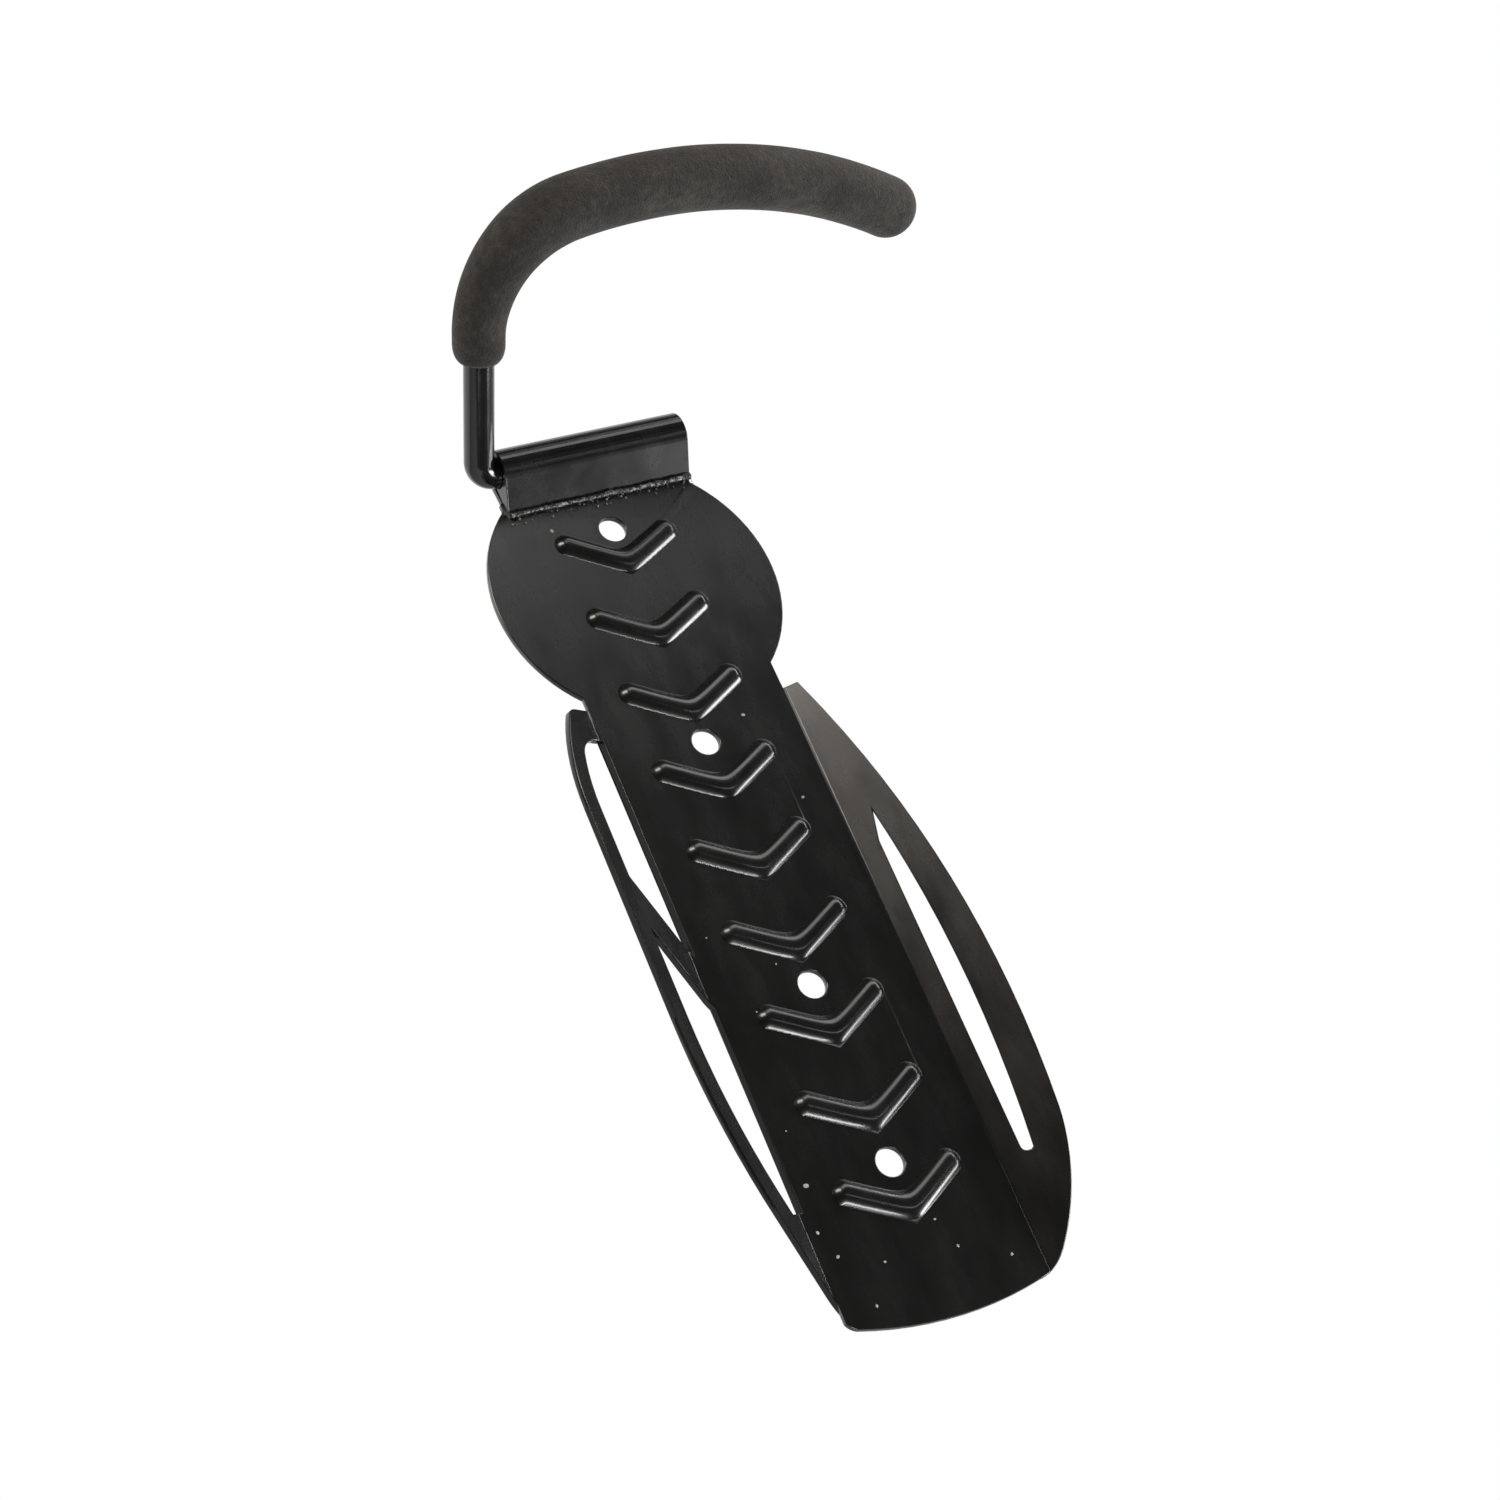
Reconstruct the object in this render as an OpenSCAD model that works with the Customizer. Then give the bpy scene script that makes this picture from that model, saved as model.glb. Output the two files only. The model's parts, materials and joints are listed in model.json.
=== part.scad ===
// Wall hook for a bicycle: a pressed and folded steel tray that guides the tyre,
// with a bent rod in its rolled top and a foam sleeve over the rod's arm.
// The back of the tray lies on the wall in the plane y = 0, the front faces -Y,
// +Z runs up the tray, and z = 0 is the centre of the round head.

/* [Sheet] */
// Thickness of the steel sheet
sheet_t = 2; // [1.5:0.1:2.5]
// Width of the flat base, from fold line to fold line
base_w = 62; // [56:0.5:70]
// Diameter of the round head
head_d = 90; // [84:0.5:100]
// Distance from the head's centre down to the bottom edge
tray_drop = 230; // [224:0.5:240]
// Radius of the arc that ends the tray at the bottom
bottom_arc_r = 115; // [100:1:130]
// Distance of that arc's centre to the right of the middle
bottom_arc_x = 5; // [0:0.5:6]
// Radius of the rounded bottom corner beside the windowed wing
base_corner_r = 5; // [3:0.5:8]

/* [Folded wings] */
// Angle that both wings are folded forward from the base
fold_angle = 30; // [15:1:40]
// Inner radius of the folds
bend_r = 1.5; // [0.8:0.1:3]
// Greatest width of the slotted wing, on the right seen from the front
slot_wing_w = 22.5; // [19:0.5:26]
// Radius of the slotted wing's long edge
slot_wing_arc_r = 340; // [280:5:400]
// Height at which the slotted wing is widest
slot_wing_mid_z = -152; // [-160:1:-140]
// Height of the slotted wing's upper end
slot_wing_top_z = -42; // [-50:0.5:-40]
// Height at which the long edge starts to curve in
slot_wing_low_z = -186; // [-188:1:-180]
// Radius of that lower curve
slot_wing_low_r = 68; // [64:1:74]
// Radius of the slotted wing's lower corner
slot_wing_corner_r = 15; // [10:0.5:20]
// Greatest width of the windowed wing, on the left
window_wing_w = 17.2; // [17:0.5:22]
// Height of the windowed wing's upper end
window_wing_top_z = -37; // [-42:0.5:-36]
// Radius of the windowed wing's upper shoulder
window_wing_shoulder_r = 60; // [50:1:65]
// Height at which that shoulder meets the straight edge
window_wing_shoulder_z = -70; // [-78:1:-66]
// Radius of the long curve down to the bottom corner
window_wing_taper_r = 180; // [170:5:200]
// Height at which that curve leaves the straight edge
window_wing_taper_z = -134.5; // [-138:0.5:-130]
// Angle of the straight edge below that curve
window_wing_taper_angle = 18; // [17:0.5:19]
// Radius of the windowed wing's upper corner
window_wing_corner_r = 4; // [2:0.5:6]

/* [Wing openings] */
// Distance from the right fold line to the slot
slot_inset = 6.5; // [5:0.1:8]
// Distance from the right fold line to the slot's outer edge
slot_outer_w = 12.6; // [11:0.1:14]
// Radius of the slot's outer edge
slot_arc_r = 400; // [350:5:500]
// Height at which the slot is widest
slot_mid_z = -146; // [-150:1:-140]
// Height of the slot's upper tip
slot_top_z = -88; // [-92:0.5:-84]
// Height of the slot's lower end
slot_bottom_z = -195; // [-198:0.5:-190]
// Radius of the slot's lower end
slot_end_r = 1.9; // [1.5:0.1:2.2]
// Length of the slanted edge at the slot's tip, measured down the slot
slot_tip_l = 9; // [6:0.5:12]
// Width of the band outside the two windows
window_band = 5.3; // [4:0.1:6]
// Distance that the windows reach past the fold line into the base
window_reach = 1; // [0:0.1:2]
// Height of the upper window's upper end
window_top_z = -47; // [-50:0.5:-45]
// Height of the lower window's lower tip
window_bottom_z = -192; // [-196:0.5:-186]
// Height at which the strut's upper edge leaves the fold line
strut_z = -114; // [-120:0.5:-108]
// Angle of the strut from the fold line
strut_angle = 28; // [22:1:34]
// Width of the strut
strut_w = 7.5; // [5:0.1:10]
// Radius of the upper window's outer corner
window_corner_r = 8; // [5:0.5:9]

/* [Chevron beads] */
// Number of pressed chevrons
chevrons = 9; // [7:1:9]
// Distance from one chevron to the next
chevron_pitch = 26; // [24:0.25:27]
// Height of the first chevron's point above the head's centre
chevron_first_z = 8; // [6:0.5:9]
// Half width from the point to the centre of an arm's round end
chevron_span = 16.3; // [13:0.1:18]
// Rise of an arm from its point to its end
chevron_rise = 9.5; // [7:0.1:12]
// Width of a bead where it leaves the face
bead_w = 7; // [5:0.1:8]
// Height of a bead above the face
bead_h = 1.8; // [1:0.1:2.4]

/* [Screw holes] */
// Diameter of the screw holes
hole_d = 8.4; // [6:0.1:9.5]
// Height of the first hole
hole_1_z = 20.5; // [20:0.25:22]
// Height of the second hole
hole_2_z = -54; // [-55:0.25:-53]
// Height of the third hole
hole_3_z = -132.5; // [-133:0.25:-131.5]
// Height of the fourth hole
hole_4_z = -186; // [-186.5:0.25:-185]

/* [Rolled sleeve] */
// Height of the middle of the sleeve's axis above the head's centre
sleeve_z = 45; // [43:0.5:50]
// Angle by which the sleeve's axis rises to the right
sleeve_tilt = 4; // [0:0.5:5]
// Radius of the weld bead that closes the sleeve
weld_r = 1.2; // [0.8:0.1:1.6]

/* [Hook rod] */
// Diameter of the bent rod
rod_d = 9; // [8:0.1:10]
// Radial clearance between the rod and the rolled sleeve
pin_clearance = 0.15; // [0.05:0.05:0.3]
// Distance from the rod's end to the sleeve's far mouth
pin_recess = 1; // [0:0.5:6]
// Radius of the rod's sharp bend beside the sleeve, on its centreline
elbow_r = 4.9; // [4.8:0.1:8]
// Gap between the sleeve's mouth and the start of that bend
elbow_gap = 0.4; // [0.1:0.1:1.5]
// Angle that the hook leans forward from the tray
hook_lean = 60; // [45:1:75]
// Distance along the stem from the pin's axis to the shoulder
stem_l = 43.7; // [42:0.5:55]
// Radius of the shoulder bend, on the rod's centreline
shoulder_r = 34.5; // [30:0.5:50]
// Turn of the shoulder bend
shoulder_turn = 80; // [70:0.5:84]
// Radius of the long arm's arch, on the rod's centreline
arch_r = 178; // [150:1:260]
// Turn of the long arm's arch
arch_turn = 36.5; // [28:0.5:38]

/* [Foam sleeve] */
// Outer diameter of the foam
foam_d = 19; // [16:0.5:22]
// Radial clearance between the foam and the rod
foam_clearance = 0.1; // [0.05:0.05:0.3]
// Length of straight stem that the foam covers
foam_on_stem = 7.2; // [4:0.2:12]
// Radius of the rounding on the foam's lower end
foam_lip_r = 4; // [2:0.5:4]
// Solid foam between the rod's end and the centre of the round tip
foam_plug = 3; // [1:0.5:8]

/* [Hidden] */
$fn = 96;
steel_black = [0.06, 0.06, 0.065];
rod_black = [0.08, 0.08, 0.085];
foam_grey = [0.16, 0.15, 0.14];
half_w = base_w / 2;
head_r = head_d / 2;
bottom_c = [bottom_arc_x, bottom_arc_r - tray_drop];
fold_setback = bend_r * tan(fold_angle / 2);
fold_lap = 3;
bend_steps = 6;
seam_z = sqrt(head_r * head_r - half_w * half_w);
neck_z = seam_z + half_w * sin(sleeve_tilt) + 0.5;
bore_r = rod_d / 2 + pin_clearance;
barrel_r = bore_r + sheet_t;
sleeve_y = -barrel_r;
hole_zs = [hole_1_z, hole_2_z, hole_3_z, hole_4_z];
bead_r = (bead_w * bead_w / 4 + bead_h * bead_h) / (2 * bead_h);
bead_y = bead_r - bead_h - sheet_t;
arm_l = norm([chevron_span, chevron_rise]);
arm_angle = atan2(chevron_rise, chevron_span);
stem_x = -half_w - elbow_gap - elbow_r;
shoulder_c = [stem_x + shoulder_r, stem_l];
arch_slope = 90 - shoulder_turn;
arch_start = shoulder_c + shoulder_r * [-cos(shoulder_turn), sin(shoulder_turn)];
arch_c = arch_start + arch_r * [sin(arch_slope), -cos(arch_slope)];
tip_angle = 90 + arch_slope - arch_turn;
plug_turn = foam_plug / arch_r * 180 / PI;
foam_bore_r = rod_d / 2 + foam_clearance;
foam_start = stem_l - foam_on_stem;
far = 400;
round_swell = 0.02;

// Direction of an angle in a plane
function dir(a) = [cos(a), sin(a)];

// Of the two points at distance ra from a and rb from b, the one on the right of the way from a to b
function meet(a, ra, b, rb) =
    let (d = norm(b - a), u = (b - a) / d, s = (ra * ra - rb * rb + d * d) / (2 * d), h = sqrt(ra * ra - s * s))
    a + s * u + h * [u[1], -u[0]];

// Point where a circle of radius r about c is touched from inside by one centred on q
function touch(c, r, q) = c + r * (q - c) / norm(q - c);

// Rounds a corner: q is the centre of the rounding, p1 and p2 are where it meets the edges
module rounded(q, p1, p2, r) {
    difference() {
        children();
        difference() {
            polygon([q, q + 2 * (p1 - q), q + 2 * (p1 - q) + 2 * (p2 - q), q + 2 * (p2 - q)]);
            translate(q) circle(r = r + round_swell);
        }
    }
}

// Turns a drawing in (x, z) into a panel from y0 to y0 + t
module panel(y0, t) {
    translate([0, y0 + t, 0]) rotate([90, 0, 0]) linear_extrude(t) children();
}

// Turns a drawing in (y, z) into a bar along X
module along_x(x0, l) {
    translate([x0, 0, 0]) rotate([90, 0, 90]) linear_extrude(l) children();
}

// Everything above the tray's arched bottom edge, for a drawing centred on centre_x
module above_bottom(centre_x) {
    translate([centre_x, bottom_c[1]]) circle(r = bottom_arc_r, $fn = 180);
    translate([-far, bottom_c[1]]) square([2 * far, far]);
}

module base_outline() {
    circle(r = head_r, $fn = 180);
    translate([-half_w, 0]) square([base_w, neck_z]);
    intersection() {
        translate([fold_setback - half_w, -tray_drop]) square([base_w - 2 * fold_setback, tray_drop]);
        above_bottom(bottom_arc_x);
    }
}

// Wing drawings are in (w, z), with w measured from the fold line across the wing
module slot_wing_outline() {
    arc_c = [slot_wing_w - slot_wing_arc_r, slot_wing_mid_z];
    low_c = [bottom_arc_x - half_w, bottom_c[1]];
    p1 = [arc_c[0] + sqrt(pow(slot_wing_arc_r, 2) - pow(slot_wing_low_z - slot_wing_mid_z, 2)), slot_wing_low_z];
    q1 = p1 + slot_wing_low_r * (arc_c - p1) / slot_wing_arc_r;
    q2 = meet(q1, slot_wing_low_r - slot_wing_corner_r, low_c, bottom_arc_r - slot_wing_corner_r);
    p2 = touch(q1, slot_wing_low_r, q2);
    rounded(q2, p2, touch(low_c, bottom_arc_r, q2), slot_wing_corner_r)
        rounded(q1, p1, q1 + slot_wing_low_r * dir(-60), slot_wing_low_r) intersection() {
            translate([-half_w, -tray_drop]) square([half_w + slot_wing_w, tray_drop + slot_wing_top_z]);
            translate(arc_c) circle(r = slot_wing_arc_r, $fn = 360);
            above_bottom(low_c[0]);
        }
}

module slot() {
    edge_c = [slot_outer_w - slot_arc_r, slot_mid_z];
    end_q = [slot_inset + slot_end_r, slot_bottom_z + slot_end_r];
    tip = [edge_c[0] + sqrt(pow(slot_arc_r, 2) - pow(slot_top_z - slot_mid_z, 2)), slot_top_z];
    low = [slot_inset, slot_top_z - slot_tip_l];
    past_tip = tip + (tip - low) / 2;
    intersection() {
        translate(edge_c) circle(r = slot_arc_r, $fn = 360);
        union() {
            polygon([
                low, past_tip, [slot_outer_w, past_tip[1]], [slot_outer_w, end_q[1]], [slot_inset, end_q[1]]
            ]);
            translate(end_q) circle(r = slot_end_r);
            translate([slot_inset + slot_end_r, end_q[1] - slot_end_r]) square([0.5, slot_end_r]);
        }
    }
}

// Centre of a rounding of radius r between a level edge at top_z and the shoulder's arc
function wing_corner(w, shoulder, top_z, r) =
    [w - shoulder + sqrt(pow(shoulder - r, 2) - pow(top_z - r - window_wing_shoulder_z, 2)), top_z - r];

// Point where a rounding centred on q meets the shoulder's arc
function wing_touch(inset, q) =
    touch([window_wing_w - window_wing_shoulder_r, window_wing_shoulder_z], window_wing_shoulder_r - inset, q);

// The wing's drawing without its rounded corner, drawn in from the edge by inset
module window_wing_shape(inset, top_z) {
    w = window_wing_w - inset;
    shoulder = window_wing_shoulder_r - inset;
    taper = window_wing_taper_r - inset;
    intersection() {
        translate([-half_w, -tray_drop]) square([half_w + w, tray_drop + top_z]);
        union() {
            translate([w - taper, window_wing_taper_z]) circle(r = taper, $fn = 360);
            translate([-half_w, window_wing_taper_z]) square([half_w + w, far]);
            translate([w - taper, window_wing_taper_z]) rotate(-window_wing_taper_angle)
                translate([-far, -far]) square([far + taper - round_swell, far]);
        }
        union() {
            translate([w - shoulder, window_wing_shoulder_z]) circle(r = shoulder, $fn = 180);
            translate([-half_w, window_wing_shoulder_z - far]) square([half_w + w, far]);
        }
    }
}

module window_wing_outline() {
    q = wing_corner(window_wing_w, window_wing_shoulder_r, window_wing_top_z, window_wing_corner_r);
    p = q + window_wing_corner_r * [0, 1];
    intersection() {
        rounded(q, p, wing_touch(0, q), window_wing_corner_r) window_wing_shape(0, window_wing_top_z);
        above_bottom(-half_w - bottom_arc_x);
    }
}

// The strut runs from the fold line up and outwards, between the two windows
module strut() {
    translate([0, strut_z]) rotate(90 - strut_angle) translate([-far, -strut_w]) square([2 * far, strut_w]);
}

module windows() {
    q = wing_corner(window_wing_w - window_band, window_wing_shoulder_r - window_band, window_top_z, window_corner_r);
    p = q + window_corner_r * [0, 1];
    difference() {
        intersection() {
            rounded(q, p, wing_touch(window_band, q), window_corner_r) window_wing_shape(window_band, window_top_z);
            translate([-window_reach, window_bottom_z]) square([window_wing_w, far]);
        }
        strut();
    }
}

// Moves a wing drawing's frame to its fold line; side is 1 on the right and -1 on the left
module at_fold(side) {
    mirror([side < 0 ? 1 : 0, 0, 0])
        translate([half_w, -sheet_t, 0]) rotate([0, 0, -fold_angle]) children();
}

// Section of a fold and its wing in (x, y), from a stretch of the base out past the wing's edge
module wing_section() {
    c = [half_w - fold_setback, -sheet_t - bend_r];
    steps = [for (i = [0 : bend_steps]) 90 - fold_angle * i / bend_steps];
    reach = 2 * slot_wing_w * dir(-fold_angle);
    polygon(concat(
        [[half_w - fold_lap, 0]],
        [for (a = steps) c + (bend_r + sheet_t) * dir(a)],
        [c + (bend_r + sheet_t) * dir(90 - fold_angle) + reach, c + bend_r * dir(90 - fold_angle) + reach],
        [for (i = [0 : bend_steps]) c + bend_r * dir(steps[bend_steps - i])],
        [[half_w - fold_lap, -sheet_t]]
    ));
}

// A fold and its wing on one side, as far as the wing's drawing reaches
module wing(side) {
    intersection() {
        mirror([side < 0 ? 1 : 0, 0, 0])
            translate([0, 0, -tray_drop]) linear_extrude(tray_drop) wing_section();
        at_fold(side) panel(-4 * sheet_t, 8 * sheet_t) children();
    }
}

// The small rounded corner at the bottom, below the windowed wing
module base_corner_cut() {
    r = base_corner_r;
    q_x = r - half_w;
    q = [q_x, bottom_c[1] - sqrt(pow(bottom_arc_r - r, 2) - pow(q_x - bottom_arc_x, 2))];
    p2 = touch(bottom_c, bottom_arc_r, q);
    panel(-far / 2, far) difference() {
        polygon([q, q - [2 * r, 0], q - [2 * r, 3 * r], [p2[0], q[1] - 3 * r], q + 2 * (p2 - q)]);
        translate(q) circle(r = r + round_swell);
    }
}

// Half of a chevron: a rounded bar from the centreline out to its round end
module half_chevron(r, near_y) {
    intersection() {
        translate([0, -far, -far]) cube([far, far + near_y, 2 * far]);
        translate([0, bead_y, 0]) rotate([0, 90 - arm_angle, 0]) rotate_extrude() intersection() {
            translate([0, -2 * r]) square([r, arm_l + 3 * r]);
            union() {
                translate([0, -2 * r]) square([r, arm_l + 2 * r]);
                translate([0, arm_l]) circle(r = r, $fn = 48);
            }
        }
    }
}

module chevron_row(r, near_y) {
    for (i = [0 : chevrons - 1])
        translate([0, 0, chevron_first_z - i * chevron_pitch]) {
            half_chevron(r, near_y);
            mirror([1, 0, 0]) half_chevron(r, near_y);
        }
}

// Section of the rolled sleeve in (y, z): the barrel, and the flap down to its welded edge
module sleeve_section() {
    c = [sleeve_y, sleeve_z];
    s = [-sheet_t, seam_z];
    reach = norm(c - s);
    flap_a = atan2(c[1] - s[1], c[0] - s[0]) + asin(barrel_r / reach);
    run = sqrt(reach * reach - barrel_r * barrel_r);
    inner_s = s + [0, sheet_t / sin(flap_a - 90)];
    difference() {
        union() {
            translate(c) circle(r = barrel_r);
            polygon([s, s + run * dir(flap_a), c, [0, sleeve_z], [0, seam_z]]);
        }
        translate(c) circle(r = bore_r);
        polygon([inner_s, c + bore_r * dir(flap_a - 90), c, [-sheet_t, sleeve_z]]);
    }
}

// Turns the sleeve and all it carries about the middle of its axis
module tilted() {
    translate([0, 0, sleeve_z]) rotate([0, -sleeve_tilt, 0]) translate([0, 0, -sleeve_z]) children();
}

module tyre_tray() color(steel_black) difference() {
    union() {
        panel(-sheet_t, sheet_t) base_outline();
        wing(1) slot_wing_outline();
        wing(-1) window_wing_outline();
        chevron_row(bead_r, -sheet_t / 2);
        tilted() along_x(-half_w, base_w) sleeve_section();
        tilted() along_x(-half_w, base_w) intersection() {
            translate([-sheet_t, seam_z]) circle(r = weld_r, $fn = 32);
            translate([-far - sheet_t / 2, 0]) square([far, far]);
        }
    }
    chevron_row(bead_r - sheet_t, far / 2);
    panel(-far / 2, far) for (z = hole_zs) translate([0, z]) circle(d = hole_d);
    at_fold(1) panel(-sheet_t, 3 * sheet_t) slot();
    at_fold(-1) panel(-sheet_t, 3 * sheet_t) windows();
    base_corner_cut();
}

// Moves the hook's own flat drawing, along X and up its stem, to the leaning plane through the sleeve
module in_hook_plane() {
    tilted() translate([0, sleeve_y, sleeve_z]) rotate([90 + hook_lean, 0, 0]) children();
}

// Moves by v in ever finer steps, so that ends meant to touch meet exactly
module place(v) {
    coarse = [for (c = v) round(c)];
    fine = [for (c = v - coarse) round(c * 1000) / 1000];
    translate(coarse) translate(fine) translate(v - coarse - fine) children();
}

// One bend of a round bar in the hook's plane, about c, from angle a through turn
module bar_bend(c, bend_radius, a, turn, r) {
    place(c) rotate_extrude(angle = turn, start = a, $fn = 180) translate([bend_radius, 0]) circle(r = r, $fn = 64);
}

// The upper stem, the shoulder and the arch, which the rod, the foam and the foam's bore all follow
module arm(from, r, short_turn) {
    translate([stem_x, from, 0]) rotate([-90, 0, 0]) cylinder(r = r, h = stem_l - from, $fn = 64);
    bar_bend(shoulder_c, shoulder_r, 180 - shoulder_turn, shoulder_turn, r);
    bar_bend(arch_c, arch_r, tip_angle + short_turn, arch_turn - short_turn, r);
}

module hook_rod() color(rod_black) in_hook_plane() {
    bend_start = stem_x + elbow_r;
    translate([bend_start, 0, 0]) rotate([0, 90, 0])
        cylinder(d = rod_d, h = half_w - pin_recess - bend_start, $fn = 64);
    bar_bend([bend_start, elbow_r], elbow_r, 180, 90, rod_d / 2);
    arm(elbow_r, rod_d / 2, plug_turn);
}

// The rounded lower end of the foam
module foam_end(r) {
    translate([stem_x, foam_start, 0]) rotate([-90, 0, 0]) rotate_extrude($fn = 64) intersection() {
        square([r, foam_lip_r]);
        union() {
            square([r - foam_lip_r, foam_lip_r]);
            translate([r - foam_lip_r, foam_lip_r]) circle(r = foam_lip_r);
        }
    }
}

// The half ball that closes the foam's tip
module foam_tip(r) {
    place(arch_c + arch_r * dir(tip_angle)) rotate_extrude(angle = 180, start = tip_angle - 180, $fn = 64)
        intersection() {
            circle(r = r, $fn = 64);
            translate([0, -r]) square([r, 2 * r]);
        }
}

module foam_sleeve() color(foam_grey) in_hook_plane() difference() {
    union() {
        foam_end(foam_d / 2);
        arm(foam_start + foam_lip_r, foam_d / 2, 0);
        foam_tip(foam_d / 2);
    }
    arm(foam_start - foam_d, foam_bore_r, plug_turn - foam_clearance / arch_r * 180 / PI);
}

tyre_tray();
hook_rod();
foam_sleeve();
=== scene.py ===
"""Looks for a wall hook that stores a bicycle by its wheel: painted tray and rod, foam sleeve, weld and dust."""

import json
import math

import bmesh
import bpy
import numpy as np
from bpy.props import FloatProperty, FloatVectorProperty, IntProperty, PointerProperty
from mathutils import Matrix, Vector

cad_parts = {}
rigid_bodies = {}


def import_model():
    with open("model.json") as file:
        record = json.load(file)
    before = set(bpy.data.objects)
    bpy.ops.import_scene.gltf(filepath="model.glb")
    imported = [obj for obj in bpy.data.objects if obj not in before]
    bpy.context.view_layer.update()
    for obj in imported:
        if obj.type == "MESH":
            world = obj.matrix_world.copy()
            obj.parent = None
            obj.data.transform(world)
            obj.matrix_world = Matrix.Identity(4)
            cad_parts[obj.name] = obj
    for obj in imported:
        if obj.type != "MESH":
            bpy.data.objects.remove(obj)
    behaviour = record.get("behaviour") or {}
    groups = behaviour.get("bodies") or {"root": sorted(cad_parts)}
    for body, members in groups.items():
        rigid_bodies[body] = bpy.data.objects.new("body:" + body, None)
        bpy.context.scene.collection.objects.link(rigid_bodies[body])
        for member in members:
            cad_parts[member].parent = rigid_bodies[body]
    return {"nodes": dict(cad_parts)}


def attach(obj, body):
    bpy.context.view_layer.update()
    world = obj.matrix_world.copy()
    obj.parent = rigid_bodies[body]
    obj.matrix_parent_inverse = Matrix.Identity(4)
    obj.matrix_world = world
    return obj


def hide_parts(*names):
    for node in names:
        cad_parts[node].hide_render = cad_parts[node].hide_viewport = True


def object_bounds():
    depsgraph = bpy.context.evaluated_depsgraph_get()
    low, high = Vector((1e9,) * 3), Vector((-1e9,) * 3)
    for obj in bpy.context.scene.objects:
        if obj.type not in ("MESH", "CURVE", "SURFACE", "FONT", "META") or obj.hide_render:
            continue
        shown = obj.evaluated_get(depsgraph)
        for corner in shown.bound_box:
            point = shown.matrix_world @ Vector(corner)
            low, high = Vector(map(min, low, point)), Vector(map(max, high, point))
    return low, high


bl_info = {
    "name": "Wheel Hook Dresser",
    "version": (1, 0, 0),
    "blender": (4, 5, 0),
    "location": "3D View > Sidebar > Wheel Hook",
    "description": "Dresses the packed wheel hook with paint, foam, weld and dust, and sets its studio",
    "category": "Object",
}

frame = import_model()
CAD_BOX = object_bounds()
MM = 0.001

# The hook's own plane, as the part's source places it
SLEEVE_Y = -6.65
SLEEVE_Z = 45.0
SLEEVE_TILT = math.radians(4)
HOOK_LEAN = math.radians(60)
STEM_X = -36.3
STEM_L = 43.7
SHOULDER_R = 34.5
SHOULDER_TURN = math.radians(80)
ARCH_R = 178.0
ARCH_TURN = math.radians(36.5)
FOAM_START = 36.5
FOAM_BORE_R = 4.6
HALF_W = 31.0
SEAM_Z = 32.62
SHEET_T = 2.0

# The pressed chevrons, as the part's source places them
CHEVRONS = 9
CHEVRON_PITCH = 26.0
CHEVRON_FIRST_Z = 8.0
CHEVRON_SPAN = 16.3
CHEVRON_RISE = 9.5


def tilted(point):
    """A point in mm, given before the sleeve's tilt, in the row frame in metres."""
    x, y, z = point
    c, s = math.cos(SLEEVE_TILT), math.sin(SLEEVE_TILT)
    dz = z - SLEEVE_Z
    return Vector((x * c - dz * s, y, SLEEVE_Z + x * s + dz * c)) * MM


def hook_point(u, v):
    """A point of the hook's flat drawing in the row frame in metres."""
    a = math.pi / 2 + HOOK_LEAN
    return tilted((u, SLEEVE_Y + v * math.cos(a), SLEEVE_Z + v * math.sin(a)))


def arm_point(s):
    """The arm's centreline at length s in mm above the pin's axis, in the hook's drawing."""
    if s <= STEM_L:
        return STEM_X, s
    shoulder_end = STEM_L + SHOULDER_R * SHOULDER_TURN
    cx, cy = STEM_X + SHOULDER_R, STEM_L
    if s <= shoulder_end:
        a = math.pi - (s - STEM_L) / SHOULDER_R
        return cx + SHOULDER_R * math.cos(a), cy + SHOULDER_R * math.sin(a)
    slope = math.pi / 2 - SHOULDER_TURN
    sx = cx - SHOULDER_R * math.cos(SHOULDER_TURN)
    sy = cy + SHOULDER_R * math.sin(SHOULDER_TURN)
    ax, ay = sx + ARCH_R * math.sin(slope), sy - ARCH_R * math.cos(slope)
    a = math.pi / 2 + slope - (s - shoulder_end) / ARCH_R
    return ax + ARCH_R * math.cos(a), ay + ARCH_R * math.sin(a)


ARM_END = STEM_L + SHOULDER_R * SHOULDER_TURN + ARCH_R * ARCH_TURN


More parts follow.
